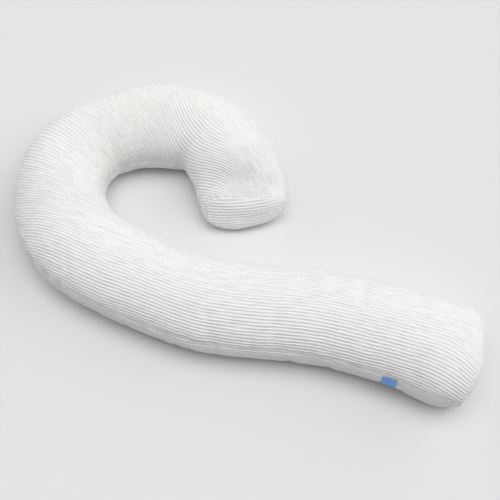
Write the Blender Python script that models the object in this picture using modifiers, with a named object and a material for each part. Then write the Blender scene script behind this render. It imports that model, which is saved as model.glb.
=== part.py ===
"""Hook-shaped body pillow: one long filled tube, an oval panel sewn into each end, and a seam label.

The tube lies on its flattened underside. It runs from the leg's end at +X along the leg, turns round
the left side and over the top, folds sharply on its inner side, and stops at the hook's end, which
faces -Y. Each section is an upright slice across the tube. The cover is turned a little round the
filling, so that its side seam runs higher on the outer side of the bends than on the inner side.
"""

import math
from collections import namedtuple

import bmesh
import bpy
from mathutils import Vector

# ---------------------------------------------------------------- driving sizes, in metres and degrees

# Plan point that lies under the middle of the pillow's footprint, in the section table's own coordinates.
FOOTPRINT_CENTRE = (-0.0334, 0.0715)

SINK = 0.016                # how deep the weight presses the round tube flat against what it lies on
CROWN_FULLNESS = 2.15       # exponent of the slice above its widest line: 2 is an ellipse, more is squarer
FLAT_HALF_WIDTH = 0.58      # flattened underside, as a share of the slice's half width
SEAM_DRAW_IN = 0.007        # how far the side seams pull the cloth in
CORNER_PUSH = 0.004         # the side seam's corner stands out this far at an end seam
CORNER_REACH = 0.050

# Cage points over the crown, one row each, from the inner side seam to the outer one: share is how far
# over the point lies, and the bows are how far the leg's and the hook's end seams stand out there.
Crown = namedtuple("Crown", "share leg_bow hook_bow")
CROWN = (
    Crown(0.00, 0.004, 0.000),
    Crown(0.04, 0.003, -0.002),
    Crown(0.16, 0.000, -0.010),
    Crown(0.31, -0.006, -0.015),
    Crown(0.50, -0.004, -0.004),
    Crown(0.60, 0.007, 0.006),
    Crown(0.69, 0.008, 0.013),
    Crown(0.84, -0.002, 0.009),
    Crown(0.96, -0.008, 0.002),
    Crown(1.00, -0.012, 0.000),
)
UNDERSIDE_SHARES = (0.08, 0.38, 0.70)   # cage points from a side seam down to the flat underside

END_ROUNDING = 0.050        # length over which the tube closes in to its end seam
END_BOW_REACH = 0.140       # length over which an end's bow fades into the tube
SEW_GAP = 0.0007            # clearance between pieces that are sewn together
SLUMP_REACH = 0.170         # length over which the loosely filled hook end sinks towards its end seam
SLUMP_FROM = 0.020          # the sinking starts at this height and is greatest at the crown
SLUMP_BACK = 0.58           # how far back the cloth leans for each metre that it sinks
PANEL_THICKNESS = 0.003

# The two ends. inner_bow and outer_bow are how far the end seam stands out below each side, and dome is
# how far the filling pushes out the middle of the panel. The tube closes in to the end seam by the share
# closing of its size, its crown gets squarer by fullness, and its flat underside narrows by the share
# flat_loss and rises by lift. slump is how far the crown has sunk at the seam, so that the panel slopes.
End = namedtuple("End", "name crown_bows inner_bow outer_bow dome closing fullness flat_loss lift slump")
LEG_END = End(
    name="leg_end_panel",
    crown_bows=[row.leg_bow for row in CROWN],
    inner_bow=0.006,
    outer_bow=-0.009,
    dome=0.026,
    closing=0.045,
    fullness=0.6,
    flat_loss=0.25,
    lift=0.005,
    slump=0.0,
)
HOOK_END = End(
    name="hook_end_panel",
    crown_bows=[row.hook_bow for row in CROWN],
    inner_bow=0.014,
    outer_bow=0.006,
    dome=0.029,
    closing=0.09,
    fullness=1.0,
    flat_loss=0.55,
    lift=0.010,
    slump=0.070,
)
PANEL_RINGS = (1.0, 0.78, 0.40)   # rings of the panel's cage, as shares of its outline

LABEL_WIDTH = 0.040
LABEL_DROP = 0.023
LABEL_THICKNESS = 0.0014
LABEL_ALONG = 0.200         # where the label sits, measured along the tube from the leg's end
LABEL_TILT = 30.0           # leans out from upright over the fullness below the seam
LABEL_BELOW_SEAM = 0.004
LABEL_CLEARANCE = 0.0028    # from the seam's stitch line, sunk in its groove, out to the tab's middle

# One row for each section, from the leg's end to the hook's end. seam_turn is how far the cover is
# turned round the filling, in degrees, and lean is how much the crown rises towards the inner side.
# The first and last rows only steer the tube's two ends.
Section = namedtuple("Section", "x y half_width half_height seam_turn lean")
SECTIONS = (
    Section(0.690, -0.372, 0.142, 0.102, 12.0, 0.00),
    Section(0.614, -0.352, 0.146, 0.103, 12.0, 0.00),
    Section(0.540, -0.326, 0.156, 0.106, 12.0, 0.00),
    Section(0.460, -0.286, 0.149, 0.106, 11.0, 0.00),
    Section(0.350, -0.250, 0.148, 0.106, 11.0, 0.00),
    Section(0.248, -0.224, 0.144, 0.106, 12.0, 0.00),
    Section(0.128, -0.203, 0.144, 0.106, 13.0, 0.00),
    Section(-0.003, -0.190, 0.145, 0.105, 12.0, 0.00),
    Section(-0.128, -0.173, 0.146, 0.105, 12.0, 0.00),
    Section(-0.252, -0.132, 0.137, 0.104, 12.0, 0.00),
    Section(-0.366, -0.074, 0.147, 0.104, 12.0, 0.00),
    Section(-0.456, -0.020, 0.149, 0.104, 11.0, 0.00),
    Section(-0.528, 0.040, 0.149, 0.104, 10.0, 0.00),
    Section(-0.577, 0.130, 0.147, 0.103, 8.0, 0.00),
    Section(-0.595, 0.225, 0.141, 0.103, 6.0, 0.00),
    Section(-0.576, 0.338, 0.148, 0.103, 5.0, 0.00),
    Section(-0.512, 0.420, 0.147, 0.103, 4.0, 0.00),
    Section(-0.430, 0.453, 0.135, 0.103, 3.0, 0.00),
    Section(-0.338, 0.481, 0.148, 0.104, 3.0, 0.00),
    Section(-0.248, 0.478, 0.150, 0.105, 4.0, 0.00),
    Section(-0.170, 0.453, 0.148, 0.106, 7.0, 0.00),
    Section(-0.107, 0.414, 0.147, 0.106, 10.0, 0.02),
    Section(-0.060, 0.340, 0.148, 0.104, 14.0, 0.06),
    Section(-0.034, 0.265, 0.144, 0.102, 17.0, 0.12),
    Section(-0.013, 0.150, 0.144, 0.102, 24.0, 0.20),
    Section(-0.003, 0.060, 0.144, 0.102, 24.0, 0.20),
)
STEPS_PER_SECTION = 2
STEPS_AT_AN_END = 4

# Folds and dents, one row each: along is measured down the tube's line from the leg's end, around is
# the angle on the slice (0 is the inner side, 90 the crown, 180 the outer side), and the two spreads
# are how far it reaches before it has faded.
Fold = namedtuple("Fold", "along around depth along_spread around_spread")
FOLDS = (
    Fold(2.010, 12.0, 0.026, 0.034, 42.0),      # the sharp fold inside the hook's bend
    Fold(1.030, 196.0, 0.007, 0.030, 24.0),     # creases low on the outer side, where the leg turns up
    Fold(1.105, 190.0, 0.007, 0.026, 24.0),
    Fold(0.420, 150.0, 0.004, 0.034, 36.0),     # shallow hollows across the leg's front
    Fold(0.690, 148.0, 0.005, 0.034, 36.0),
    Fold(0.560, 60.0, 0.003, 0.040, 30.0),
    Fold(1.560, 120.0, 0.004, 0.040, 30.0),     # flatter patch over the hook's upper left
)

COTTON_WHITE = (0.83, 0.82, 0.80)
LABEL_BLUE = (0.10, 0.30, 0.66)


# ---------------------------------------------------------------- the tube's line and its slices

UP = Vector((0.0, 0.0, 1.0))
Slice = namedtuple("Slice", "centre forward inner half_width half_height seam_turn lean along to_end end")


def spline(before, start, end, after, share):
    """Point and slope between start and end on the smooth curve through the four rows."""
    value = []
    slope = []
    for a, b, c, d in zip(before, start, end, after):
        linear = c - a
        square = 2 * a - 5 * b + 4 * c - d
        cube = 3 * b - a - 3 * c + d
        value.append(b + 0.5 * share * (linear + share * (square + share * cube)))
        slope.append(0.5 * linear + share * (square + 1.5 * share * cube))
    return Section(*value), Section(*slope)


def sample_line():
    """The section table, filled in smoothly: a list of (section, slope) along the tube."""
    samples = []
    last = len(SECTIONS) - 3
    for row in range(1, last + 1):
        at_an_end = row in (1, last)
        steps = STEPS_AT_AN_END if at_an_end else STEPS_PER_SECTION
        for step in range(steps):
            samples.append(spline(*SECTIONS[row - 1:row + 3], step / steps))
    samples.append(spline(*SECTIONS[last - 1:last + 3], 1.0))
    return samples


def build_slices():
    """Upright slices across the tube, from the leg's end to the hook's end."""
    samples = sample_line()
    points = [Vector((s.x - FOOTPRINT_CENTRE[0], s.y - FOOTPRINT_CENTRE[1], 0.0)) for s, _ in samples]
    travelled = [0.0]
    for here, there in zip(points, points[1:]):
        travelled.append(travelled[-1] + (there - here).length)
    length = travelled[-1]
    slices = []
    for (section, slope), centre, along in zip(samples, points, travelled):
        forward = Vector((slope.x, slope.y, 0.0)).normalized()
        inner = Vector((forward.y, -forward.x, 0.0))
        end, to_end = (LEG_END, along) if along < length / 2 else (HOOK_END, length - along)
        slices.append(Slice(centre, forward, inner, section.half_width, section.half_height,
                            section.seam_turn, section.lean, along, to_end, end))
    return slices


def smooth_fade(distance, reach):
    """1 at no distance, falling smoothly to 0 at the reach."""
    share = min(max(distance / reach, 0.0), 1.0)
    return (1.0 - share) ** 2 * (1.0 + 2.0 * share)


def between(ends, share):
    return ends[0] + (ends[1] - ends[0]) * share


def fold_depth(along, around):
    """How far the folds and dents push the cloth in at this place on the tube."""
    depth = 0.0
    for fold in FOLDS:
        across = (around - fold.around + 180.0) % 360.0 - 180.0
        reach = math.hypot((along - fold.along) / fold.along_spread, across / fold.around_spread)
        depth += fold.depth * math.exp(-reach * reach)
    return depth


def power(value, fullness):
    return math.copysign(abs(value) ** (2.0 / fullness), value)


def slice_size(cut):
    """The slice's half width and half height, its flat's half width and its lowest height."""
    closing = smooth_fade(cut.to_end, END_ROUNDING)
    size = 1.0 - cut.end.closing * closing
    flat = FLAT_HALF_WIDTH * (1.0 - cut.end.flat_loss * closing)
    return cut.half_width * size, cut.half_height * size, cut.half_width * flat, cut.end.lift * closing


def slice_point(cut, angle, draw_in=0.0):
    """A point of the slice's outline: how far to the inner side, and how high."""
    turn = math.radians(angle)
    half_width, half_height, flat, floor = slice_size(cut)
    middle = cut.half_height - SINK
    pull = 1.0 - (draw_in + fold_depth(cut.along, angle)) / half_width
    if math.sin(turn) >= 0.0:
        fullness = CROWN_FULLNESS + cut.end.fullness * smooth_fade(cut.to_end, END_BOW_REACH)
        side = half_width * pull * power(math.cos(turn), fullness)
        rise = half_height * pull * power(math.sin(turn), fullness)
        return side, middle + rise * (1.0 + cut.lean * side / half_width)
    flat_side = math.copysign(flat, math.cos(turn))
    side = flat_side + (half_width * pull - flat) * math.cos(turn)
    return side, middle + (middle - floor) * math.sin(turn)


def outline(cut):
    """The slice's cage points as (side, height, bow), once round from the inner seam."""
    inner_seam, outer_seam = -cut.seam_turn, 180.0 - cut.seam_turn
    draw_in = SEAM_DRAW_IN - (SEAM_DRAW_IN + CORNER_PUSH) * smooth_fade(cut.to_end, CORNER_REACH)
    points = []
    for row, bow in zip(CROWN, cut.end.crown_bows):
        at_seam = row.share in (0.0, 1.0)
        angle = inner_seam + 180.0 * row.share
        points.append((*slice_point(cut, angle, draw_in if at_seam else 0.0), bow))
    inner_bows = (cut.end.crown_bows[0], cut.end.inner_bow)
    outer_bows = (cut.end.crown_bows[-1], cut.end.outer_bow)
    for share in UNDERSIDE_SHARES:
        angle = outer_seam + (270.0 - outer_seam) * share
        points.append((*slice_point(cut, angle), between(outer_bows, share)))
    _, _, flat, floor = slice_size(cut)
    for share in (0.0, 1.0 / 3.0, 2.0 / 3.0, 1.0):
        side = between((-flat, flat), share)
        points.append((side, floor, between((cut.end.outer_bow, cut.end.inner_bow), share)))
    for share in reversed(UNDERSIDE_SHARES):
        angle = inner_seam + (-90.0 - inner_seam) * share
        points.append((*slice_point(cut, angle), between(inner_bows, share)))
    return points


def slumped(cut, outward, point):
    """The point, sunk and leaning back as far as the loose filling lets it near the tube's end."""
    crown = 2.0 * cut.half_height - SINK
    share = max(point.z - SLUMP_FROM, 0.0) / (crown - SLUMP_FROM)
    fall = cut.end.slump * share * smooth_fade(cut.to_end, SLUMP_REACH)
    return point - (UP + outward * SLUMP_BACK) * fall


def ring_points(cut):
    """The slice's cage ring in space, bowed out where it nears an end seam."""
    outward = cut.forward if cut.end is HOOK_END else -cut.forward
    fade = smooth_fade(cut.to_end, END_BOW_REACH)
    return [slumped(cut, outward, cut.centre + cut.inner * side + UP * height + outward * bow * fade)
            for side, height, bow in outline(cut)]


def panel_rings(cut, outward):
    """Rings of the domed end panel on this slice, from the end seam in to its middle."""
    middle = cut.centre + UP * (cut.half_height - SINK)
    rings = []
    for share in PANEL_RINGS:
        ring = []
        for side, height, bow in outline(cut):
            flat = cut.centre + cut.inner * side + UP * height
            push = bow * share ** 2 + cut.end.dome * (1.0 - share ** 4)
            ring.append(slumped(cut, outward, middle + (flat - middle) * share + outward * push))
        rings.append(ring)
    return rings


# ---------------------------------------------------------------- making the pieces

def finish(name, bm, collection, material):
    mesh = bpy.data.meshes.new(name)
    bm.to_mesh(mesh)
    bm.free()
    mesh.shade_smooth()
    mesh.materials.append(material)
    piece = bpy.data.objects.new(name, mesh)
    collection.objects.link(piece)
    return piece


def add_subdivision(piece):
    subdivision = piece.modifiers.new("Subdivision", 'SUBSURF')
    subdivision.levels = 1
    subdivision.render_levels = 1


def loft(bm, rings, closed_start=True):
    """Joins the rings with faces and closes the last one, and the first one too where asked."""
    loops = [[bm.verts.new(point) for point in ring] for ring in rings]
    for near, far in zip(loops, loops[1:]):
        for here in range(len(near)):
            there = (here + 1) % len(near)
            bm.faces.new((near[here], near[there], far[there], far[here]))
    bm.faces.new(loops[-1])
    if closed_start:
        bm.faces.new(list(reversed(loops[0])))
    return loops


def keep_edge_sharp(bm, loop):
    """The end seam stays an edge under subdivision, so that the panel's curve matches the tube's end."""
    crease = bm.edges.layers.float.get("crease_edge") or bm.edges.layers.float.new("crease_edge")
    for here, there in zip(loop, loop[1:] + loop[:1]):
        bm.edges.get((here, there))[crease] = 1.0


def build_body(slices, collection, material):
    """The filled tube, closed at each end under the end panel."""
    first, last = slices[0], slices[-1]
    leg_cap = panel_rings(first, -first.forward)
    hook_cap = panel_rings(last, last.forward)
    rings = leg_cap[::-1] + [ring_points(cut) for cut in slices[1:-1]] + hook_cap
    bm = bmesh.new()
    loops = loft(bm, rings)
    keep_edge_sharp(bm, loops[len(leg_cap) - 1])
    keep_edge_sharp(bm, loops[-len(hook_cap)])
    bmesh.ops.recalc_face_normals(bm, faces=bm.faces)
    piece = finish("pillow_body", bm, collection, material)
    add_subdivision(piece)
    return piece


def build_end_panel(cut, outward, collection, material):
    """An oval of cloth on the tube's end, pushed out by the filling."""
    rings = [[point + outward * SEW_GAP for point in ring] for ring in panel_rings(cut, outward)]
    bm = bmesh.new()
    loft(bm, rings, closed_start=False)
    bmesh.ops.recalc_face_normals(bm, faces=bm.faces)
    if sum((face.normal.dot(outward) for face in bm.faces)) < 0.0:
        bmesh.ops.reverse_faces(bm, faces=bm.faces)
    piece = finish(cut.end.name, bm, collection, material)
    add_subdivision(piece)
    cloth = piece.modifiers.new("Thickness", 'SOLIDIFY')
    cloth.thickness = PANEL_THICKNESS
    cloth.offset = 1.0
    return piece


def outer_seam(slices, along):
    """Point and direction of the outer side seam, this far along the tube."""
    near = max((cut for cut in slices if cut.along <= along), key=lambda cut: cut.along)
    far = min((cut for cut in slices if cut.along > along), key=lambda cut: cut.along)
    ends = []
    for cut in (near, far):
        side, height = slice_point(cut, 180.0 - cut.seam_turn, SEAM_DRAW_IN)
        ends.append(cut.centre + cut.inner * side + UP * height)
    share = (along - near.along) / (far.along - near.along)
    return ends[0].lerp(ends[1], share), (ends[1] - ends[0]).normalized()


def build_label(slices, collection, material):
    """A folded tab that hangs from the outer side seam near the leg's end."""
    seam, direction = outer_seam(slices, LABEL_ALONG)
    outer = UP.cross(direction)
    tilt = math.radians(LABEL_TILT)
    drop = outer * math.sin(tilt) - UP * math.cos(tilt)
    away = outer * math.cos(tilt) + UP * math.sin(tilt)
    middle = seam + drop * (LABEL_BELOW_SEAM + LABEL_DROP / 2) + away * LABEL_CLEARANCE
    bpy.ops.mesh.primitive_cube_add(size=1.0)
    piece = bpy.context.object
    for vertex in piece.data.vertices:
        along, down, through = vertex.co
        vertex.co = (direction * along * LABEL_WIDTH + drop * down * LABEL_DROP
                     + away * through * LABEL_THICKNESS)
    piece.location = middle
    piece.name = piece.data.name = "seam_label"
    piece.data.materials.append(material)
    for holder in list(piece.users_collection):
        holder.objects.unlink(piece)
    collection.objects.link(piece)
    bm = bmesh.new()
    bm.from_mesh(piece.data)
    bmesh.ops.recalc_face_normals(bm, faces=bm.faces)
    bm.to_mesh(piece.data)
    bm.free()
    edge = piece.modifiers.new("Folded edge", 'BEVEL')
    edge.width = LABEL_THICKNESS * 0.3
    edge.segments = 2
    return piece


def cloth_material(name, colour, roughness):
    material = bpy.data.materials.new(name)
    material.use_nodes = True
    shader = material.node_tree.nodes["Principled BSDF"]
    shader.inputs["Base Color"].default_value = (*colour, 1.0)
    shader.inputs["Roughness"].default_value = roughness
    shader.inputs["Metallic"].default_value = 0.0
    return material


for old in list(bpy.data.objects):
    bpy.data.objects.remove(old, do_unlink=True)

pillow = bpy.data.collections.new("Body pillow")
bpy.context.scene.collection.children.link(pillow)

tube = build_slices()
build_body(tube, pillow, cloth_material("striped knit", COTTON_WHITE, 0.9))
build_end_panel(tube[0], -tube[0].forward, pillow, cloth_material("leg end knit", COTTON_WHITE, 0.9))
build_end_panel(tube[-1], tube[-1].forward, pillow, cloth_material("hook end knit", COTTON_WHITE, 0.9))
build_label(tube, pillow, cloth_material("blue tape", LABEL_BLUE, 0.75))
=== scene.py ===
"""A hook-shaped body pillow in striped knit, lying on a plain pale surface."""

import math
from collections import namedtuple

import bmesh
import bpy
import numpy as np
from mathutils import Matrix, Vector, noise
from mathutils.bvhtree import BVHTree


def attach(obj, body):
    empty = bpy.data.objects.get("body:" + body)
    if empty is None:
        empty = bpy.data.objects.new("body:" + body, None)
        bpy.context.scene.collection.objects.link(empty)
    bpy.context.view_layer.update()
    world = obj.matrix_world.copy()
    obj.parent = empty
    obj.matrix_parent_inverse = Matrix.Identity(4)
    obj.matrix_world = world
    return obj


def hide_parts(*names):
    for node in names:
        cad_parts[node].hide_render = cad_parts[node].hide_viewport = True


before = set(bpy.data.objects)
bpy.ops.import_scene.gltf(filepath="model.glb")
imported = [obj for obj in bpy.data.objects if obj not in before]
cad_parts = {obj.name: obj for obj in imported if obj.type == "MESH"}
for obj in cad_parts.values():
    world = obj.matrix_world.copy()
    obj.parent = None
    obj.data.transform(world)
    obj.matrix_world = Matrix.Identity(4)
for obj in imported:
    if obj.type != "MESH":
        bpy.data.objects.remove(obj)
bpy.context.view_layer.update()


# ---------------------------------------------------------------- the studio
# A plain pale surface under six broad soft lamps, one overhead, three at its sides and two low ones behind,
# and a camera that looks down on the pillow from the front at 60 degrees, as the photograph does.

FOOTPRINT_CENTRE = np.array((-0.0334, 0.0715))     # as in the part's source, where the tube's line is set out
CAMERA_ELEVATION = math.radians(60.0)
CAMERA_DISTANCE = 2.45
CAMERA_FOCAL = 820.0 / 500.0                       # focal length as a share of the frame's width
AIM = Vector((-FOOTPRINT_CENTRE[0], -FOOTPRINT_CENTRE[1], 0.10))

SKY_LIGHT = 0.02
LIGHT_SOFTNESS = math.radians(50.0)
FLOOR_COLOUR = (0.73, 0.73, 0.73, 1.0)
FLOOR_ROUGHNESS = 0.8
FLOOR_REACH = 60.0
SOFT_SHINE = 0.25           # of every surface here, as none is glossy

# Where each broad lamp stands, seen from the pillow, and the light that it gives a face turned to it.
Lamp = namedtuple("Lamp", "name x y z light")
LAMPS = (
    Lamp("overhead lamp", 0.0, 0.0, 1.0, 1.55),
    Lamp("right lamp", 1.0, 0.0, 1.0, 1.12),
    Lamp("left lamp", -1.0, 0.0, 1.0, 0.50),
    Lamp("front right lamp", 0.7, -0.7, 1.0, 0.25),
    Lamp("back right lamp", 0.7, 0.7, 0.33, 0.70),
    Lamp("back left lamp", -0.7, 0.7, 0.33, 0.56),
)

camera_data = bpy.data.cameras.new("camera")
camera_data.lens = camera_data.sensor_width * CAMERA_FOCAL
camera = bpy.data.objects.new("camera", camera_data)
back = Vector((0.0, -math.cos(CAMERA_ELEVATION), math.sin(CAMERA_ELEVATION)))
camera.location = AIM + back * CAMERA_DISTANCE
camera.rotation_euler = back.to_track_quat("Z", "Y").to_euler()
bpy.context.scene.collection.objects.link(camera)
bpy.context.scene.camera = camera
bpy.context.scene.view_settings.view_transform = "Standard"

world = bpy.data.worlds.new("even light")
world.use_nodes = True
world.node_tree.nodes["Background"].inputs["Color"].default_value = (1.0, 1.0, 1.0, 1.0)
world.node_tree.nodes["Background"].inputs["Strength"].default_value = SKY_LIGHT
bpy.context.scene.world = world

for lamp in LAMPS:
    lamp_data = bpy.data.lights.new(lamp.name, "SUN")
    lamp_data.energy = lamp.light
    lamp_data.angle = LIGHT_SOFTNESS
    lamp_object = bpy.data.objects.new(lamp.name, lamp_data)
    lamp_object.rotation_euler = Vector((lamp.x, lamp.y, lamp.z)).to_track_quat("Z", "Y").to_euler()
    bpy.context.scene.collection.objects.link(lamp_object)


def add_piece(name, bm, material):
    """Makes the bmesh a smooth-shaded object at the origin with this material."""
    mesh = bpy.data.meshes.new(name)
    bm.to_mesh(mesh)
    bm.free()
    mesh.shade_smooth()
    mesh.materials.append(material)
    piece = bpy.data.objects.new(name, mesh)
    bpy.context.scene.collection.objects.link(piece)
    return piece


def start_material(name, roughness, sheen=0.0):
    """A new material and its shader."""
    material = bpy.data.materials.new(name)
    material.use_nodes = True
    shader = material.node_tree.nodes["Principled BSDF"]
    shader.inputs["Roughness"].default_value = roughness
    shader.inputs["Specular IOR Level"].default_value = SOFT_SHINE
    shader.inputs["Sheen Weight"].default_value = sheen
    return material, shader


floor_material, floor_shader = start_material("pale surface", FLOOR_ROUGHNESS)
floor_shader.inputs["Base Color"].default_value = FLOOR_COLOUR
floor_mesh = bmesh.new()
bmesh.ops.create_grid(floor_mesh, x_segments=1, y_segments=1, size=FLOOR_REACH)
floor = add_piece("floor", floor_mesh, floor_material)


# ---------------------------------------------------------------- the filled cover
# The long cover is two curved cuts of striped cotton knit, joined along an inner and an outer side seam,
# turned right side out and stuffed with fibre. The filling swells it between the seams, it buckles into a
# sharp fold inside the hook's tight bend, and its weight presses the underside flat.

# The tube's line, as in the part's source: one row for each section from the leg's end to the hook's end.
# seam_turn is how far the cover is turned round the filling there, in degrees.
Section = namedtuple("Section", "x y seam_turn")
TUBE_LINE = (
    Section(0.690, -0.372, 12.0),
    Section(0.614, -0.352, 12.0),
    Section(0.540, -0.326, 12.0),
    Section(0.460, -0.286, 11.0),
    Section(0.350, -0.250, 11.0),
    Section(0.248, -0.224, 12.0),
    Section(0.128, -0.203, 13.0),
    Section(-0.003, -0.190, 12.0),
    Section(-0.128, -0.173, 12.0),
    Section(-0.252, -0.132, 12.0),
    Section(-0.366, -0.074, 12.0),
    Section(-0.456, -0.020, 11.0),
    Section(-0.528, 0.040, 10.0),
    Section(-0.577, 0.130, 8.0),
    Section(-0.595, 0.225, 6.0),
    Section(-0.576, 0.338, 5.0),
    Section(-0.512, 0.420, 4.0),
    Section(-0.430, 0.453, 3.0),
    Section(-0.338, 0.481, 3.0),
    Section(-0.248, 0.478, 4.0),
    Section(-0.170, 0.453, 7.0),
    Section(-0.107, 0.414, 10.0),
    Section(-0.060, 0.340, 10.0),
    Section(-0.034, 0.265, 9.0),
    Section(-0.013, 0.150, 9.0),
    Section(-0.003, 0.060, 9.0),
)
UP = np.array((0.0, 0.0, 1.0))
MIDDLE_HEIGHT = 0.088       # of the points that the rays start from
HOOK_END_SINK = 0.026       # they are this much lower at the hook's end, where the tube has sunk
HOOK_SINK_REACH = 0.170
END_BOW_REACH = 0.14        # an end seam's bow fades into the tube over this length
LINE_STEPS = 4001
ROWS = 301
HALF_COLUMNS = 40           # from one side seam to the other, over the crown, and as many below
SEAM_CROWDING = 0.05        # the columns lie this much closer together near the side seams
RAYS = 240
HALF_RING_STEPS = 181
PANEL_EDGE = 0.6            # two faces meet at a panel's edge where their normals' product is under this
SEWN_WITHIN = 0.0016        # the panel's edge lies this near to the tube where they are sewn together
BEND_AT = 2.07              # how far along the tube its tightest bend is
BEND_REACH = 0.24
BEND_ROUNDS = 40
SOFTENING_ROUNDS = 4
CAP_SHARES = (0.82, 0.60, 0.36, 0.14)      # sizes of the rings that close an end, against its rim
CAP_SINK = 0.0015           # the cover's closed ends lie this far under the end panels

# The cloth simulation. The knit is cut larger than its filling, by the share in shrink_min.
LYING_HEIGHT = 0.012        # cloth lower than this lies on the floor
CLOTH_FRAMES = 20
KNIT_CLOTH = {
    "quality": 6,
    "mass": 0.25,
    "tension_stiffness": 25.0,
    "compression_stiffness": 12.0,
    "shear_stiffness": 8.0,
    "bending_stiffness": 0.15,
    "use_pressure": True,
    "uniform_pressure_force": 4.0,
    "shrink_min": -0.035,
}
WRINKLE_CAP = 0.0035        # no wrinkle is higher
WRINKLE_REACH = (1, 1)      # rows and columns each way over which the wrinkles are evened out
SWELLING_REACH = (6, 3)     # and those over which the swelling is taken

# The sewn detail on the finished net.
LYING_FADE = 0.020          # it fades out below this height, where the cloth lies on the floor
SEAM_DEPTH = 0.0014
SEAM_HALF_WIDTH = 0.0045
GATHER_HEIGHT = 0.0011
GATHER_SIZE = 0.011
GATHER_REACH = 0.030
END_GATHER_HEIGHT = 0.0034
END_GATHER_SIZE = 0.0085
END_GATHER_REACH = 0.018
END_GATHER_LEAST = 0.35     # share of their height that the end gathers keep away from the pinched corner
PINCHED_AT = 0.17           # share of the way round the rim, from the inner seam over the crown
PINCH_REACH = 0.040
LIP_AT = 0.06               # where the tube's end curls round further before it meets the panel
LIP_REACH = 0.045
LIP_GROWTH = 3.5
SOFT_DENT = 0.0012
SOFT_DENT_SIZE = 0.085
NOISE_STEP = (7.3, 3.1, 1.7)               # how far apart the noise of one seed lies from the next
RIM_ROUNDING = (0.0018, 0.0007, 0.0002)    # how far the first rows are drawn in at the end seams

# How the stripes of the upper cloth run: the angle from the tube's own direction towards its outer side, in
# degrees, near the inner seam, on the inner shoulder, over the crown and near the outer seam.
StripeTurn = namedtuple("StripeTurn", "along inner_seam inner_shoulder crown outer_seam")
STRIPE_TURNS = (
    StripeTurn(0.12, 0, 0, 2, 0),
    StripeTurn(0.60, 0, -2, -3, 0),
    StripeTurn(0.84, 0, -3, -5, 0),
    StripeTurn(0.98, 0, 0, 0, 8),
    StripeTurn(1.39, 60, 66, 66, 64),
    StripeTurn(1.47, 72, 76, 78, 80),
    StripeTurn(1.54, 80, 82, 80, 84),
    StripeTurn(1.60, 90, 90, 91, 92),
    StripeTurn(1.66, 98, 102, 104, 98),
    StripeTurn(1.75, 110, 108, 101, 100),
    StripeTurn(1.84, 114, 110, 107, 103),
    StripeTurn(1.92, 118, 117, 115, 110),
    StripeTurn(1.99, 140, 138, 132, 122),
    StripeTurn(2.04, 185, 170, 163, 145),
)
# At both ends and in the wide bend the stripes keep to no simple angle with the tube. There this table gives
# their direction as the camera sees it, at places in the photograph: pixels across and down from its top left
# corner, and degrees up from the right.
STRIPE_LOOKS = (
    # Over the hook.
    (143, 117, 118), (160, 150, 123), (177, 133, 126), (170, 100, 116), (186, 104, 118), (197, 123, 127),
    (213, 104, 130), (213, 118, 136), (230, 123, 134), (191, 140, 134), (208, 143, 152), (224, 145, 152),
    (186, 157, 145), (202, 157, 172), (219, 157, 170), (232, 160, 160), (197, 173, 180), (213, 173, 176),
    (230, 173, 155), (239, 179, 130), (245, 160, 140), (250, 140, 128), (262, 160, 118), (247, 184, 122),
    (252, 181, 120), (260, 188, 112), (269, 188, 105), (278, 184, 98), (197, 184, 180), (213, 184, 175),
    (224, 188, 160), (233, 190, 130), (238, 193, 115), (202, 196, 180), (213, 193, 172), (201, 210, 180),
    # At the leg's end.
    (377, 307, 172), (410, 320, 168), (443, 328, 164), (460, 330, 158), (468, 333, 142), (475, 340, 127),
    (478, 348, 118), (460, 348, 152), (468, 357, 138), (475, 362, 128), (452, 362, 153), (463, 370, 144),
    (470, 377, 138), (443, 377, 153), (460, 387, 144), (427, 370, 160), (410, 357, 166), (393, 345, 170),
    (435, 387, 155), (450, 397, 150),
    # Round the wide bend.
    (23, 176, 175), (21, 187, 180), (23, 203, 184), (23, 217, 185), (23, 228, 183), (25, 239, 179),
    (29, 247, 177), (40, 203, 176), (42, 217, 174), (42, 228, 169), (41, 239, 165), (41, 248, 158),
    (41, 259, 155), (56, 203, 166), (56, 217, 162), (59, 228, 158), (59, 244, 156), (59, 261, 155),
    (74, 219, 155), (74, 233, 153), (84, 228, 152), (79, 250, 155), (79, 277, 155), (93, 264, 154),
    (100, 243, 155), (107, 277, 158), (107, 298, 160), (40, 180, 172), (60, 185, 165),
)
LOOK_REACH = 8.0            # pixels over which one place in the table fades into the next
# Where along the tube the looks take over from the turns, and where they have faded into them again.
LookZone = namedtuple("LookZone", "start whole_from whole_to end")
LOOK_ZONES = (
    LookZone(-0.2, -0.1, 0.10, 0.22),
    LookZone(0.93, 1.06, 1.42, 1.56),
    LookZone(1.90, 2.02, 9.0, 9.1),
)
LEAST_FACING = 0.2          # cloth seen more edgewise than this is taken to face the camera this much
PHOTOGRAPH_WIDTH = 500.0
TURN_PLACES = (0.10, 0.35, 0.60, 0.90)     # of the turns' columns, from the inner to the outer seam
TURN_SMOOTHING = 12
STRIPE_PITCH = 0.0092
PITCH_FIRMNESS = 0.35       # how much the pitch matters beside the direction, where both can't be kept
SOLVER_STEPS = 3000
SOLVER_LIMIT = 1e-12        # it stops once what is left has shrunk to this share


def fade(distance, reach):
    """1 at no distance, falling smoothly to 0 at the reach."""
    share = np.clip(distance / reach, 0.0, 1.0)
    return (1.0 - share) ** 2 * (1.0 + 2.0 * share)


def unit(vectors):
    """The vectors at a length of 1."""
    return vectors / (np.linalg.norm(vectors, axis=-1, keepdims=True) + 1e-12)


def lengths_along(line):
    """How far along a line of points each of them lies."""
    return np.concatenate([[0.0], np.cumsum(np.linalg.norm(np.diff(line, axis=0), axis=1))])


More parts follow.
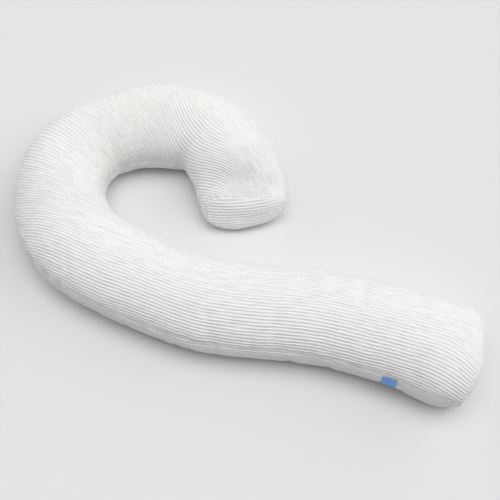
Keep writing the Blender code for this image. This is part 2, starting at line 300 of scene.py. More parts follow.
def smooth_rows(table, shares):
    """The table's columns between its second and last but one row, at these shares, on a smooth curve."""
    table = np.array(table)
    place = np.clip(shares, 0.0, 1.0) * (len(table) - 3)
    first = np.minimum(place.astype(int), len(table) - 4)
    u = (place - first)[:, None]
    a, b, c, d = (table[first + k] for k in range(4))
    return b + 0.5 * u * (c - a + u * (2 * a - 5 * b + 4 * c - d + u * (3 * b - a - 3 * c + d)))


def tube_rows(count):
    """Even steps along the tube's line: centre, forward, inner side, distance and seam turn of each."""
    dense = smooth_rows(TUBE_LINE, np.linspace(0.0, 1.0, LINE_STEPS))
    travelled = lengths_along(dense[:, :2])
    along = np.linspace(0.0, travelled[-1], count)
    x, y, turn = (np.interp(along, travelled, dense[:, k]) for k in range(3))
    centre = np.stack([x - FOOTPRINT_CENTRE[0], y - FOOTPRINT_CENTRE[1], np.zeros(count)], axis=1)
    forward = np.gradient(centre, axis=0)
    forward /= np.linalg.norm(forward, axis=1)[:, None]
    inner = np.stack([forward[:, 1], -forward[:, 0], np.zeros(count)], axis=1)
    return centre, forward, inner, along, turn


def packed_form(node):
    """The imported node's points and triangles, with its loose triangles joined."""
    bm = bmesh.new()
    bm.from_mesh(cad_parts[node].data)
    bmesh.ops.remove_doubles(bm, verts=bm.verts, dist=0.00001)
    bmesh.ops.triangulate(bm, faces=bm.faces)
    return bm


def end_seam(node, tree, middle, forward, inner, angles):
    """Reach and bow, at these angles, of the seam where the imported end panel's edge meets the tube."""
    panel = packed_form(node)
    rim = []
    for edge in panel.edges:
        if edge.link_faces[0].normal.dot(edge.link_faces[1].normal) > PANEL_EDGE:
            continue
        for vertex in edge.verts:
            place, _, _, distance = tree.find_nearest(vertex.co)
            if distance < SEWN_WITHIN:
                away = np.array(place) - middle
                side, rise = away @ inner, away[2]
                angle = math.degrees(math.atan2(rise, side)) % 360.0
                rim.append((angle, math.hypot(side, rise), away @ forward))
    panel.free()
    rim = np.array(sorted(set(rim)))
    return (np.interp(angles, rim[:, 0], rim[:, k], period=360.0) for k in (1, 2))


def cover_points():
    """The cover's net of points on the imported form: rows along the tube, columns round it from the inner
    seam over the crown to the outer seam and back underneath."""
    centre, forward, inner, along, turn = tube_rows(ROWS)
    form = packed_form("pillow_body")
    tree = BVHTree.FromBMesh(form)
    angles = np.arange(RAYS) * 360.0 / RAYS
    sink = HOOK_END_SINK * fade(along[-1] - along, HOOK_SINK_REACH)
    middles = centre + UP * (MIDDLE_HEIGHT - sink)[:, None]
    leg_reach, leg_bow = end_seam("leg_end_panel", tree, middles[0], forward[0], inner[0], angles)
    hook_reach, hook_bow = end_seam("hook_end_panel", tree, middles[-1], forward[-1], inner[-1], angles)
    form.free()
    even = np.linspace(0.0, 1.0, HALF_COLUMNS + 1)
    share = even - SEAM_CROWDING * np.sin(2.0 * math.pi * even)
    net = np.zeros((ROWS, 2 * HALF_COLUMNS, 3))
    for row in range(ROWS):
        leg_fade = fade(along[row], END_BOW_REACH)
        hook_fade = fade(along[-1] - along[row], HOOK_SINK_REACH)
        bow = leg_bow * leg_fade + hook_bow * hook_fade
        ring = np.zeros((RAYS, 3))
        for k, angle in enumerate(np.radians(angles)):
            start = middles[row] + forward[row] * bow[k]
            outward = inner[row] * math.cos(angle) + UP * math.sin(angle)
            if row in (0, ROWS - 1):
                reach = (leg_reach if row == 0 else hook_reach)[k]
            else:
                reach = tree.ray_cast(Vector(start), Vector(outward))[3]
            ring[k] = start + outward * reach
        for half in (0, 1):
            first, last = half * 180.0 - turn[row], (half + 1) * 180.0 - turn[row]
            fine = np.linspace(first, last, HALF_RING_STEPS)
            line = np.stack([np.interp(fine, angles, ring[:, k], period=360.0) for k in range(3)], axis=1)
            length = lengths_along(line)
            wanted = share[:-1] * length[-1]
            columns = slice(half * HALF_COLUMNS, (half + 1) * HALF_COLUMNS)
            for k in range(3):
                net[row, columns, k] = np.interp(wanted, length, line[:, k])
    return net, tree


def settled(net, tree):
    """The net with its points spread evenly over the form round the hook's tight bend, where the rows of the
    inner side would cross. Its last rounds leave the form and soften the bend's fold."""
    net = net.copy()
    along = tube_rows(ROWS)[3]
    reach = fade(np.abs(along - BEND_AT), BEND_REACH)[1:-1, None, None]
    rows = np.flatnonzero(reach[:, 0, 0]) + 1
    for turn in range(BEND_ROUNDS + SOFTENING_ROUNDS):
        mean = (net[:-2] + net[2:] + np.roll(net, 1, axis=1)[1:-1] + np.roll(net, -1, axis=1)[1:-1]) / 4.0
        net[1:-1] += reach * (mean - net[1:-1])
        if turn < BEND_ROUNDS:
            for row in rows:
                net[row] = [tree.find_nearest(Vector(place))[0] for place in net[row]]
    return net


def closed_ends(net, tree):
    """The net with rings added that close its two ends under the end panels."""
    caps = []
    for rim in (net[0], net[-1]):
        middle = rim.mean(axis=0)
        rings = []
        for share in CAP_SHARES:
            ring = middle + (rim - middle) * share
            for point in ring:
                place, normal, _, _ = tree.find_nearest(Vector(point[:3]))
                point[:3] = np.array(place) - np.array(normal) * CAP_SINK
            rings.append(ring)
        caps.append(rings)
    return np.array(caps[0][::-1] + list(net) + caps[1])


def net_mesh(net, open_start=False):
    """A tube mesh on the net, made from a flat grid that is rolled up and filled at its ends.
    Each vertex keeps its row and column in the net. Where the net holds five values to a point, the last
    two are its place on the striped cloth, in metres."""
    rows, columns = net.shape[:2]
    bm = bmesh.new()
    bmesh.ops.create_grid(bm, x_segments=rows - 1, y_segments=columns, size=1.0)
    row_layer = bm.verts.layers.int.new("row")
    column_layer = bm.verts.layers.int.new("column")
    for vertex in bm.verts:
        row = round((vertex.co.x + 1.0) / 2.0 * (rows - 1))
        column = round((vertex.co.y + 1.0) / 2.0 * columns) % columns
        vertex[row_layer] = row
        vertex[column_layer] = column
        vertex.co = net[row, column, :3]
    joint = [vertex for vertex in bm.verts if vertex[column_layer] == 0]
    bmesh.ops.remove_doubles(bm, verts=joint, dist=0.000001)
    hems = [edge for edge in bm.edges
            if edge.is_boundary and not (open_start and edge.verts[0][row_layer] == 0)]
    bmesh.ops.holes_fill(bm, edges=hems, sides=0)
    bmesh.ops.recalc_face_normals(bm, faces=bm.faces)
    if net.shape[2] > 3:
        cloth_map = bm.loops.layers.uv.new("cloth")
        for face in bm.faces:
            for loop in face.loops:
                loop[cloth_map].uv = net[loop.vert[row_layer], loop.vert[column_layer], 3:]
    return bm


def net_numbers(piece):
    """The row and the column in the net of each of the piece's points."""
    numbers = []
    for name in ("row", "column"):
        values = np.zeros(len(piece.data.vertices), dtype=np.int32)
        piece.data.attributes[name].data.foreach_get("value", values)
        numbers.append(values)
    return numbers


def net_of(piece, shape):
    """The piece's points as its modifiers leave them, in the net's order."""
    mesh = piece.evaluated_get(bpy.context.evaluated_depsgraph_get()).data
    places = np.zeros(len(mesh.vertices) * 3)
    mesh.vertices.foreach_get("co", places)
    net = np.zeros(shape)
    net[tuple(net_numbers(piece))] = places.reshape(-1, 3)
    return net


def padded_rows(net, count):
    """The net with this many rows added at each end, in line with its own."""
    steps = np.arange(count, 0, -1)[:, None, None]
    before = net[0] + (net[0] - net[1]) * steps
    after = net[-1] + (net[-1] - net[-2]) * steps[::-1]
    return np.concatenate([before, net, after])


def smoothed(net, row_reach, column_reach):
    """Each point's mean over the rows and columns this near to it."""
    padded = padded_rows(net, row_reach)
    over_rows = np.mean([padded[k:k + len(net)] for k in range(2 * row_reach + 1)], axis=0)
    return np.mean([np.roll(over_rows, k, axis=1) for k in range(-column_reach, column_reach + 1)], axis=0)


def finer(net):
    """The net with a point added on a smooth curve halfway along every side."""
    around = [np.roll(net, -k, axis=1) for k in (-1, 0, 1, 2)]
    halfway = (9.0 * (around[1] + around[2]) - around[0] - around[3]) / 16.0
    wide = np.stack([net, halfway], axis=2).reshape(len(net), -1, net.shape[2])
    padded = padded_rows(wide, 1)
    halfway = (9.0 * (padded[1:-2] + padded[2:-1]) - padded[:-3] - padded[3:]) / 16.0
    tall = np.zeros((2 * len(wide) - 1, *wide.shape[1:]))
    tall[0::2] = wide
    tall[1::2] = halfway
    return tall


def held_share(net):
    """How firmly each point of the closed net stays where it is: fully at the seams, at the ends and where
    the cloth lies on the floor."""
    rows, columns = net.shape[:2]
    held = np.zeros((rows, columns))
    held[:, 0] = held[:, HALF_COLUMNS] = 1.0
    held[net[:, :, 2] < LYING_HEIGHT] = 1.0
    ends = len(CAP_SHARES) + 1
    held[:ends] = held[-ends:] = 1.0
    return held


def wrinkled(net, tree):
    """The net after its cloth, cut a little larger than the filling, has been blown up for a few frames.
    The swelling itself is taken out again, so what is added is the wrinkles alone."""
    closed = closed_ends(net, tree)
    trial = add_piece("cover_trial", net_mesh(closed), cover_material)
    held = held_share(closed)
    rows, columns = net_numbers(trial)
    group = trial.vertex_groups.new(name="held")
    group.add([int(k) for k in np.flatnonzero(held[rows, columns] > 0.5)], 1.0, "REPLACE")
    cloth = trial.modifiers.new("cloth", "CLOTH")
    cloth.collision_settings.use_collision = False
    for name, value in KNIT_CLOTH.items():
        setattr(cloth.settings, name, value)
    cloth.settings.vertex_group_mass = group.name
    cloth.settings.effector_weights.gravity = 0.0
    cloth.point_cache.frame_start = 1
    cloth.point_cache.frame_end = CLOTH_FRAMES
    for number in range(1, CLOTH_FRAMES + 1):
        bpy.context.scene.frame_set(number)
    blown = net_of(trial, closed.shape)
    bpy.context.scene.frame_set(1)
    bpy.data.objects.remove(trial)
    moved = (blown - closed)[len(CAP_SHARES):-len(CAP_SHARES)]
    length = np.linalg.norm(moved, axis=2)[:, :, None] + 1e-9
    moved *= WRINKLE_CAP * np.tanh(length / WRINKLE_CAP) / length
    return net + smoothed(moved, *WRINKLE_REACH) - smoothed(moved, *SWELLING_REACH)


# Hollows and swells pressed into the cover: how far along the tube, which column of the net, how far each
# reaches both ways, how deep it is (or high, where positive), and how far it is turned on the cloth.
Dent = namedtuple("Dent", "along column reach_along reach_across lift turn")
DENTS = (
    Dent(1.800, 33.0, 0.130, 0.060, 0.0045, 0.0),
    Dent(2.340, 37.0, 0.020, 0.007, 0.0035, 0.0),
    Dent(2.340, 39.5, 0.022, 0.006, -0.0035, 0.0),
    Dent(0.741, 33.0, 0.016, 0.070, -0.0030, 10.0),
    Dent(0.690, 33.0, 0.012, 0.050, -0.0022, -8.0),
    Dent(0.560, 33.0, 0.018, 0.070, -0.0028, 8.0),
    Dent(1.245, 43.0, 0.011, 0.030, -0.0070, 0.0),
    Dent(1.192, 42.0, 0.010, 0.028, -0.0090, 15.0),
    Dent(1.174, 41.5, 0.008, 0.022, 0.0035, 0.0),
    Dent(1.155, 42.5, 0.010, 0.028, -0.0075, -10.0),
    Dent(1.205, 29.0, 0.008, 0.040, -0.0022, 35.0),
    Dent(1.150, 31.0, 0.008, 0.045, -0.0022, 30.0),
)


def net_normals(net):
    """Unit vectors out of the tube at every point of the net."""
    around = np.roll(net, -1, axis=1) - np.roll(net, 1, axis=1)
    return unit(np.cross(np.gradient(net, axis=0), around))


def noise_at(places, size, seed):
    """Smooth noise from -1 to 1 at these places, with features of about this size in metres."""
    offset = Vector([seed * step for step in NOISE_STEP])
    flat = places.reshape(-1, 3) / size
    return np.array([noise.noise(Vector(place) + offset) for place in flat]).reshape(places.shape[:-1])


def end_gathers(rim, away):
    """How much the cloth on both sides of an end seam is raised by its gathers, this far away from it. They
    are strongest at the pinched corner between the panel's top and its inner side."""
    corner = rim[int(PINCHED_AT * len(rim))]
    near = np.exp(-(np.linalg.norm(rim - corner, axis=1) / PINCH_REACH) ** 2)
    height = END_GATHER_HEIGHT * noise_at(rim, END_GATHER_SIZE, 3) * (END_GATHER_LEAST + near)
    return height * fade(away, END_GATHER_REACH)


def side_seams(places):
    """How much the cloth is drawn in at the two side seams, and raised beside them by small gathers."""
    rows, columns = places.shape[:2]
    half = columns // 2
    raised = np.zeros((rows, columns))
    ruffle = noise_at(places, GATHER_SIZE, 1)
    for seam in (0, half):
        gap = np.linalg.norm(np.diff(np.roll(places, half - seam, axis=1), axis=1), axis=2)
        travelled = np.concatenate([np.zeros((rows, 1)), np.cumsum(gap, axis=1)], axis=1)
        away = np.roll(np.abs(travelled - travelled[:, half:half + 1]), seam - half, axis=1)
        raised -= SEAM_DEPTH * np.exp(-(away / SEAM_HALF_WIDTH) ** 2)
        raised += GATHER_HEIGHT * ruffle * fade(away, GATHER_REACH)
    return raised


def dented(places, along, outward):
    """How much the cloth is raised or pressed in by the dents of the table."""
    rows, columns = places.shape[:2]
    raised = np.zeros((rows, columns))
    for dent in DENTS:
        row = int(np.argmin(np.abs(along - dent.along)))
        column = int(dent.column * columns / (2 * HALF_COLUMNS))
        away = places - places[row, column]
        forward = unit(places[row + 1, column] - places[row - 1, column])
        sideways = unit(np.cross(outward[row, column], forward))
        turn = math.radians(dent.turn)
        beside = away @ (forward * math.cos(turn) + sideways * math.sin(turn)) / dent.reach_along
        across = away @ (sideways * math.cos(turn) - forward * math.sin(turn)) / dent.reach_across
        facing = np.clip(outward @ outward[row, column], 0.0, 1.0)
        raised += dent.lift * facing * np.exp(-beside ** 2 - across ** 2)
    return raised


def sewn(net):
    """The fine net with its seams drawn in, small gathers along them, and the dents of the real cover."""
    rows, columns = net.shape[:2]
    places = net[:, :, :3]
    along = tube_rows(rows)[3]
    outward = net_normals(places)
    raised = side_seams(places)
    for rim, end in ((0, 0.0), (-1, along[-1])):
        raised += end_gathers(places[rim], np.abs(along - end)[:, None])
    raised += SOFT_DENT * noise_at(places, SOFT_DENT_SIZE, 2)
    raised += dented(places, along, outward)
    lying = np.clip(places[:, :, 2] / LYING_FADE, 0.0, 1.0)
    net = net.copy()
    net[:, :, :3] += outward * (raised * lying)[:, :, None]
    for rim, order in ((0, 1), (rows - 1, -1)):
        ends = net[rim, :, :3].copy()
        middle = ends.mean(axis=0)
        lip = np.exp(-(np.linalg.norm(ends - ends[int(LIP_AT * columns)], axis=1) / LIP_REACH) ** 2)
        for step, rounding in enumerate(RIM_ROUNDING):
            row = rim + order * step
            drawn_in = rounding * (1.0 + LIP_GROWTH * lip)[:, None]
            net[row, :, :3] -= unit(net[row, :, :3] - middle) * drawn_in
    return net


def looked_directions(cloth, forward, sideways):
    """How far forward and how far sideways the stripes run after the looks: the mean direction of the nearby
    places, moved along the line of sight onto the cloth."""
    across, toward = np.array((1.0, 0.0, 0.0)), np.array(back)
    upright = np.cross(toward, across)
    from_camera = cloth - np.array(camera.location)
    scale = PHOTOGRAPH_WIDTH * CAMERA_FOCAL / -(from_camera @ toward)
    looks = np.array(STRIPE_LOOKS)
    x = PHOTOGRAPH_WIDTH / 2.0 + (from_camera @ across) * scale
    y = PHOTOGRAPH_WIDTH / 2.0 - (from_camera @ upright) * scale
    apart = (x[..., None] - looks[:, 0]) ** 2 + (y[..., None] - looks[:, 1]) ** 2
    weight = np.exp(-(apart - apart.min(axis=2, keepdims=True)) / (2.0 * LOOK_REACH ** 2))
    angle = np.radians(np.sum(weight * looks[:, 2], axis=2) / weight.sum(axis=2))[..., None]
    seen = across * np.cos(angle) + upright * np.sin(angle)
    normal = np.cross(forward, sideways)
    facing = np.maximum(normal @ toward, LEAST_FACING)
    on_cloth = seen - toward * (np.sum(seen * normal, axis=2) / facing)[..., None]
    return unit(np.stack([np.sum(on_cloth * forward, axis=2), np.sum(on_cloth * sideways, axis=2)], axis=2))


def stripe_turns(cloth, forward, sideways, shares):
    """The stripes' angle at every point of the upper cloth, in radians."""
    along = tube_rows(ROWS)[3]
    table = np.array(STRIPE_TURNS)
    columns = np.array([np.interp(along, table[:, 0], table[:, k]) for k in range(1, table.shape[1])])
    turns = np.array([[np.interp(share, TURN_PLACES, column) for share in shares] for column in columns.T])
    turns = np.radians(smoothed_cloth(turns))
    turned = np.stack([np.cos(turns), np.sin(turns)], axis=2)
    looked = looked_directions(cloth, forward, sideways)
    share = np.sum([np.interp(along, zone, (0.0, 1.0, 1.0, 0.0)) for zone in LOOK_ZONES], axis=0)
    share = (1.0 - fade(share, 1.0))[:, None, None]
    mixed = turned * (1.0 - share) + looked * share
    return np.arctan2(mixed[..., 1], mixed[..., 0])


def smoothed_cloth(values):
    """The values on the upper cloth, with sudden changes taken out."""
    for _ in range(TURN_SMOOTHING):
        padded = np.pad(values, 1, mode="edge")
        values = (padded[:-2, 1:-1] + padded[2:, 1:-1] + padded[1:-1, :-2] + padded[1:-1, 2:]) / 4.0
    return values


def measured_along(cloth, forward, sideways, turn, slack):
    """The value that grows by a metre for each metre gone in the direction at this turn on the cloth, as
    nearly as it can everywhere at once, and stays the same square to it. It is found by least squares with
    conjugate gradients; with slack under 1, the direction matters more than the metre does."""
    ahead, beside = np.cos(turn), np.sin(turn)
    forward_step = np.sum((cloth[1:, :-1] - cloth[:-1, :-1]) * forward, axis=2)
    sideways_step = np.sum((cloth[:-1, 1:] - cloth[:-1, :-1]) * sideways, axis=2)
    skew = np.sum((cloth[:-1, 1:] - cloth[:-1, :-1]) * forward, axis=2)

    def slopes(value):
        forward_slope = (value[1:, :-1] - value[:-1, :-1]) / forward_step
        return forward_slope, (value[:-1, 1:] - value[:-1, :-1] - forward_slope * skew) / sideways_step

    def gathered(forward_part, sideways_part):
        forward_part = forward_part - sideways_part * skew / sideways_step
        total = np.zeros(cloth.shape[:2])
        total[1:, :-1] += forward_part / forward_step
        total[:-1, :-1] -= forward_part / forward_step + sideways_part / sideways_step
        total[:-1, 1:] += sideways_part / sideways_step
        return total

    def pushed(value):
        forward_slope, sideways_slope = slopes(value)
        run = slack * (forward_slope * ahead + sideways_slope * beside)
        cross = sideways_slope * ahead - forward_slope * beside
        return gathered(run * ahead - cross * beside, run * beside + cross * ahead)

    value = np.zeros(cloth.shape[:2])
    left = gathered(slack * ahead, slack * beside)
    step = left.copy()
    size = first_size = np.sum(left * left)
    for _ in range(SOLVER_STEPS):
        push = pushed(step)
        amount = size / np.sum(step * push)
        value += amount * step
        left -= amount * push
        new_size = np.sum(left * left)
        if new_size < SOLVER_LIMIT * first_size:
            break
        step = left + step * new_size / size
        size = new_size
    return value


def stripe_places(net):
    """For each point of the net, how far along its stripe it is and how far across the stripes, in metres.
    The lower cloth is the upper one's mirror image, so the stripes meet at both side seams."""
    cloth = padded_rows(net[:, :HALF_COLUMNS + 2], 1)[1:]
    forward = unit(cloth[1:, :-1] - cloth[:-1, :-1])
    sideways = cloth[:-1, 1:] - cloth[:-1, :-1]
    sideways = unit(sideways - forward * np.sum(sideways * forward, axis=2, keepdims=True))
    girth = lengths_along(net[ROWS // 2, :HALF_COLUMNS + 1])
    turn = stripe_turns(cloth[:-1, :-1], forward, sideways, girth / girth[-1])
    places = np.stack([measured_along(cloth, forward, sideways, turn, 1.0),
                       measured_along(cloth, forward, sideways, turn + math.pi / 2.0, PITCH_FIRMNESS)], axis=2)
    places = places[:ROWS, :HALF_COLUMNS + 1]
    return np.concatenate([places, places[:, HALF_COLUMNS - 1:0:-1]], axis=1)


class Maths:
    """A shader socket that takes part in Python arithmetic. Each operation adds its own node."""

    def __init__(self, tree, socket):
        self.tree = tree
        self.socket = socket

    def node(self, kind, settings=None, **sockets):
        """Adds a node, first with its settings, then with a value or a link for each named socket."""
        made = self.tree.nodes.new(kind)
        for name, value in (settings or {}).items():
            setattr(made, name, value)
        for name, value in sockets.items():
            place = made.inputs[int(name[1:])] if name[1:].isdigit() else made.inputs[name.replace("_", " ")]
            if isinstance(value, Maths):
                self.tree.links.new(value.socket, place)
            else:
                place.default_value = value
        return made

    def operation(self, name, *values):
        made = self.node("ShaderNodeMath", {"operation": name}, **{f"_{i}": v for i, v in enumerate(values)})
        return Maths(self.tree, made.outputs[0])

    def __add__(self, other):
        return self.operation("ADD", self, other)

    def __sub__(self, other):
        return self.operation("SUBTRACT", self, other)

    def __rsub__(self, other):
        return self.operation("SUBTRACT", other, self)

    def __mul__(self, other):
        return self.operation("MULTIPLY", self, other)

    __radd__ = __add__
    __rmul__ = __mul__

    def sine(self):
        return self.operation("SINE", self)

    def size(self):
        return self.operation("ABSOLUTE", self)

    def step(self, low, high):
        """0 below low, 1 above high, smooth between."""
        made = self.node("ShaderNodeMapRange", {"interpolation_type": "SMOOTHSTEP"},
                         Value=self, From_Min=low, From_Max=high)
        return Maths(self.tree, made.outputs[0])

    def mix(self, first, second):
        """The colours mixed by this share: first at 0, second at 1."""
        made = self.node("ShaderNodeMix", {"data_type": "RGBA"}, Factor=self, _6=first, _7=second)
        return Maths(self.tree, made.outputs[2])

    def part(self, name):
        """One coordinate of a place."""
        made = self.node("ShaderNodeSeparateXYZ", None, Vector=self)
        return Maths(self.tree, made.outputs[name])

    def stretched(self, x, y, z=0.0):
        """The place with its coordinates multiplied by these."""
        made = self.node("ShaderNodeVectorMath", {"operation": "MULTIPLY"}, _0=self, _1=(x, y, z))
        return Maths(self.tree, made.outputs[0])

    def noise(self, scale, detail=2.0):
        """Noise at this place, about 0.5, with this many features to a metre."""
        made = self.node("ShaderNodeTexNoise", None, Vector=self, Scale=scale, Detail=detail)
        return Maths(self.tree, made.outputs[0])

    def bump(self):
        """The surface's normal where the surface is raised by this, in metres."""
        made = self.node("ShaderNodeBump", None, Strength=1.0, Distance=1.0, Height=self)
        return Maths(self.tree, made.outputs["Normal"])

    def feed(self, shader, name):
        """Links this to the shader's socket of that name."""
        self.tree.links.new(self.socket, shader.inputs[name])


def places_on(material, map_name):
    """Where on its flat cloth each point of a piece lies, in metres, from the piece's own UV map."""
    cloth_map = material.node_tree.nodes.new("ShaderNodeUVMap")
    cloth_map.uv_map = map_name
    return Maths(material.node_tree, cloth_map.outputs["UV"])


# The knit's colours and relief. Each grain is the number of features to a metre, along and across the stripes.
KNIT_ROUGHNESS = 0.9
KNIT_SHEEN = 0.1
KNIT_GROUND = (0.905, 0.892, 0.880, 1.0)
KNIT_FLECK = (0.86, 0.848, 0.836, 1.0)
KNIT_LINE = (0.735, 0.724, 0.716, 1.0)
FLECK_GRAIN = (260.0, 900.0)
UNEVEN_GRAIN = (24.0, 109.0)
YARN_GRAIN = (1500.0, 1500.0)
WANDER_GRAIN = (14.0, 60.0)
WANDER = 0.0030             # how far a stripe strays from its place in long waves, in metres
WOBBLE_GRAIN = (55.0, 160.0)
WOBBLE = 0.0016             # and in short ones
RIB_HEIGHT = 0.00080
STITCH_LENGTH = 0.0024
STITCH_WIDTH = 0.0018
STITCH_HEIGHT = 0.00006
YARN_HEIGHT = 0.00008
FULL_TURN = 2.0 * math.pi


def knit_finish(shader, places):
    """Fine off-white knit with narrow grey melange lines, each a little sunk between two rounded ribs.
    places holds the metres along and across the stripes."""
    along, across = places.part("X"), places.part("Y")
    wander = (places.stretched(*WANDER_GRAIN).noise(1.0, detail=1.0) - 0.5) * WANDER
    wobble = (places.stretched(*WOBBLE_GRAIN).noise(1.0, detail=2.0) - 0.5) * WOBBLE
    wave = ((across + wander + wobble) * (FULL_TURN / STRIPE_PITCH)).sine()
    flecks = places.stretched(*FLECK_GRAIN).noise(1.0, detail=2.0)
    uneven = places.stretched(*UNEVEN_GRAIN).noise(1.0, detail=1.0).step(0.25, 0.75)
    line = wave.step(0.35, 0.95) * (flecks.step(0.30, 0.62) * 0.55 + 0.45) * (uneven * 0.8 + 0.45)
    ground = flecks.step(0.35, 0.75).mix(KNIT_GROUND, KNIT_FLECK)
    line.mix(ground, KNIT_LINE).feed(shader, "Base Color")
    stitches = (along * (FULL_TURN / STITCH_LENGTH)).sine() * (across * (FULL_TURN / STITCH_WIDTH)).sine()
    yarn = places.stretched(*YARN_GRAIN).noise(1.0, detail=1.0)
    ribs = (0.0 - wave) * (uneven * 0.7 + 0.65) * RIB_HEIGHT
    (ribs + stitches * STITCH_HEIGHT + yarn * YARN_HEIGHT).bump().feed(shader, "Normal")


cover_material, cover_shader = start_material("striped knit", KNIT_ROUGHNESS, KNIT_SHEEN)
knit_finish(cover_shader, places_on(cover_material, "cloth"))

packed_net, cover_tree = cover_points()
packed_net = settled(packed_net, cover_tree)
net = wrinkled(packed_net, cover_tree)
net = sewn(finer(np.concatenate([net, stripe_places(packed_net)], axis=2)))
cover = add_piece("cover", net_mesh(closed_ends(net, cover_tree)), cover_material)
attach(cover, "root")
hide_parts("pillow_body")


# ---------------------------------------------------------------- the end panels
# Each end of the tube is closed by a panel of the same knit, cut as a rounded D and sewn in with its stripes
# level. The filling domes it, and its edge is drawn down into the seam all round, with small gathers.

PANEL_RINGS = 24
RIM_CROWDING = 1.35         # the rings lie closer together near the rim, where this is over 1
PANEL_POLE = 0.02           # the innermost ring, as a share of the rim; the rest is filled
RAY_START = 0.1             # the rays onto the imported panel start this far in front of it
PANEL_THICKNESS = 0.0012
# For each panel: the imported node, the cover's row that it is sewn to, and whether it faces along the tube's
# line or against it.
PANEL_ENDS = (("leg_end_cloth", "leg_end_panel", 0, -1), ("hook_end_cloth", "hook_end_panel", -1, 1))


def panel_net(node, rim, outward):
    """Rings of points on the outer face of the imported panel, from the cover's rim to the middle, each with
    its place on the cloth: sideways, and up the panel. The rings near the rim are gathered."""
    form = packed_form(node)
    tree = BVHTree.FromBMesh(form)
    form.free()
    middle = rim.mean(axis=0)
    facing = np.linalg.svd(rim - middle)[2][2]
    facing *= np.sign(facing @ outward)
    sideways = unit(np.cross(UP, facing))
    upward = np.cross(facing, sideways)
    rings = []
    steps = np.arange(PANEL_RINGS) / (PANEL_RINGS - 1.0)
    for share in 1.0 - (1.0 - PANEL_POLE) * steps ** RIM_CROWDING:
        ring = np.zeros((len(rim), 5))
        flat = middle + (rim - middle) * share
        for k, place in enumerate(flat):
            if share < 1.0:
                place = tree.ray_cast(Vector(place + facing * RAY_START), Vector(-facing))[0] or place
            ring[k, :3] = place
        ring[:, 3] = (ring[:, :3] - middle) @ sideways
        ring[:, 4] = (ring[:, :3] - middle) @ upward
        if share < 1.0:
            away = np.linalg.norm(flat - rim, axis=1)
            ring[:, :3] += facing * end_gathers(rim, away)[:, None]
        rings.append(ring)
    return np.array(rings)


for name, node, row, order in PANEL_ENDS:
    rim = net[row, :, :3]
    outward = tube_rows(ROWS)[1][row] * order
    panel = add_piece(name, net_mesh(panel_net(node, rim, outward), open_start=True), cover_material)
    hem = panel.modifiers.new("cloth thickness", "SOLIDIFY")
    hem.thickness = PANEL_THICKNESS
    hem.offset = -1.0
    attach(panel, "root")
    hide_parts(node)


# ---------------------------------------------------------------- the blue seam label
# A plain loop of blue satin tape, folded in half and caught in the outer side seam near the leg's end with
# one row of stitches. It hangs a little open and curls away from the cover.

LABEL_CUT = (0.040, 0.046)
TAPE_GRID = (20, 64)
TAPE_THICKNESS = 0.0004
LABEL_PUFF = 0.0006         # how far each half of the loop stands open
LABEL_CURL = 0.0012         # how far its lower edge curls away from the cover
CURL_WAVES = 70.0
LABEL_STITCHES = 10
STITCH_SHARE = 0.72         # of its step that a stitch takes up; the rest is the gap to the next one
STITCH_RADIUS = 0.00028
STITCH_DROP = 0.0022        # from the label's upper edge down to the row of stitches
TAPE_ROUGHNESS = 0.55
TAPE_SHEEN = 0.1
TAPE_BLUE = (0.18, 0.365, 0.76, 1.0)
TAPE_EDGE = (0.125, 0.265, 0.58, 1.0)
SELVEDGE = (0.0016, 0.0009)                # from the tape's side: where its firm edge starts, and is whole
SELVEDGE_HEIGHT = 0.00012
THREAD_GRAIN = (300.0, 2500.0)
TAPE_RIB = 0.0007
TAPE_RIB_HEIGHT = 0.00003

label_form = packed_form("seam_label")
corners = np.array([vertex.co for vertex in label_form.verts])
label_form.free()
label_middle = corners.mean(axis=0)
facing, hanging, beside = np.linalg.eigh(np.cov((corners - label_middle).T))[1].T
hanging = hanging * -np.sign(hanging[2])
beside = beside * np.sign(beside[0])
facing = np.cross(hanging, beside)
facing = facing * -np.sign(facing[1])
label_axes = (beside, hanging, facing)
half_width, half_drop, half_depth = (np.ptp(corners @ axis) / 2.0 for axis in label_axes)
label_middle = sum(axis * (np.max(corners @ axis) + np.min(corners @ axis)) / 2.0 for axis in label_axes)


def label_place(across, down, out):
    """A place on the label: across its width and down from its middle, and out from its middle layer."""
    curl = LABEL_CURL * ((down + half_drop) / (2.0 * half_drop)) ** 2
    curl *= 1.0 + 0.5 * math.sin(CURL_WAVES * across)
    return Vector(label_middle + beside * across + hanging * down + facing * (out + curl))


def tape_loop(share):
    """How far down the folded tape's loop and how far out this share of its length lies."""
    gap = half_depth - TAPE_THICKNESS / 2.0
    length = 2.0 * half_drop - gap
    travelled = share * (2.0 * length + math.pi * gap)
    turned = np.clip((travelled - length) / gap, 0.0, math.pi)
    if turned <= 0.0:
        down, out = travelled - half_drop, gap
    elif turned >= math.pi:
        down, out = half_drop - gap - (travelled - length - math.pi * gap), -gap
    else:
        down, out = half_drop - gap + gap * math.sin(turned), gap * math.cos(turned)
    open_share = max(math.sin(math.pi * (down + half_drop) / (2.0 * half_drop)), 0.0)
    if turned <= 0.0 or turned >= math.pi:
        out += math.copysign(LABEL_PUFF * open_share, out)
    return down, out


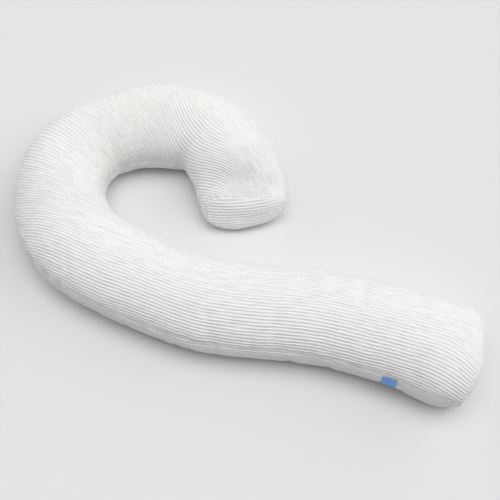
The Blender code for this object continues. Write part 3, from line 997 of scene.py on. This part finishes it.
tape_material, tape_shader = start_material("blue satin tape", TAPE_ROUGHNESS, TAPE_SHEEN)
tape_places = places_on(tape_material, "tape")
edge_start, edge_whole = (LABEL_CUT[0] / 2.0 - width for width in SELVEDGE)
selvedge = tape_places.part("X").size().step(edge_start, edge_whole)
shade = tape_places.stretched(*THREAD_GRAIN).noise(1.0).step(0.3, 0.8)
(selvedge + shade * 0.30).mix(TAPE_BLUE, TAPE_EDGE).feed(tape_shader, "Base Color")
ribs = (tape_places.part("Y") * (FULL_TURN / TAPE_RIB)).sine() * TAPE_RIB_HEIGHT
(ribs + selvedge * SELVEDGE_HEIGHT).bump().feed(tape_shader, "Normal")

tape = bmesh.new()
bmesh.ops.create_grid(tape, x_segments=TAPE_GRID[0], y_segments=TAPE_GRID[1], size=1.0)
tape_layer = tape.loops.layers.uv.new("tape")
for face in tape.faces:
    for loop in face.loops:
        loop[tape_layer].uv = (loop.vert.co.x * half_width, (loop.vert.co.y + 1.0) * LABEL_CUT[1] / 2.0)
for vertex in tape.verts:
    down, out = tape_loop((vertex.co.y + 1.0) / 2.0)
    vertex.co = label_place(vertex.co.x * half_width, down, out)
bmesh.ops.recalc_face_normals(tape, faces=tape.faces)
label = add_piece("label_tape_loop", tape, tape_material)
hem = label.modifiers.new("tape thickness", "SOLIDIFY")
hem.thickness = TAPE_THICKNESS
hem.offset = 0.0

stitches = bmesh.new()
for k in range(LABEL_STITCHES):
    across = (k + 0.5 - LABEL_STITCHES / 2.0) * 2.0 * half_width / LABEL_STITCHES
    for vertex in bmesh.ops.create_icosphere(stitches, subdivisions=2, radius=1.0)["verts"]:
        vertex.co = label_place(across + vertex.co.x * half_width / LABEL_STITCHES * STITCH_SHARE,
                                STITCH_DROP - half_drop + vertex.co.y * STITCH_RADIUS,
                                half_depth + LABEL_PUFF * 0.4 + vertex.co.z * STITCH_RADIUS)
bmesh.ops.recalc_face_normals(stitches, faces=stitches.faces)
label_stitches = add_piece("label_stitches", stitches, tape_material)
for piece in (label, label_stitches):
    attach(piece, "root")
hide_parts("seam_label")
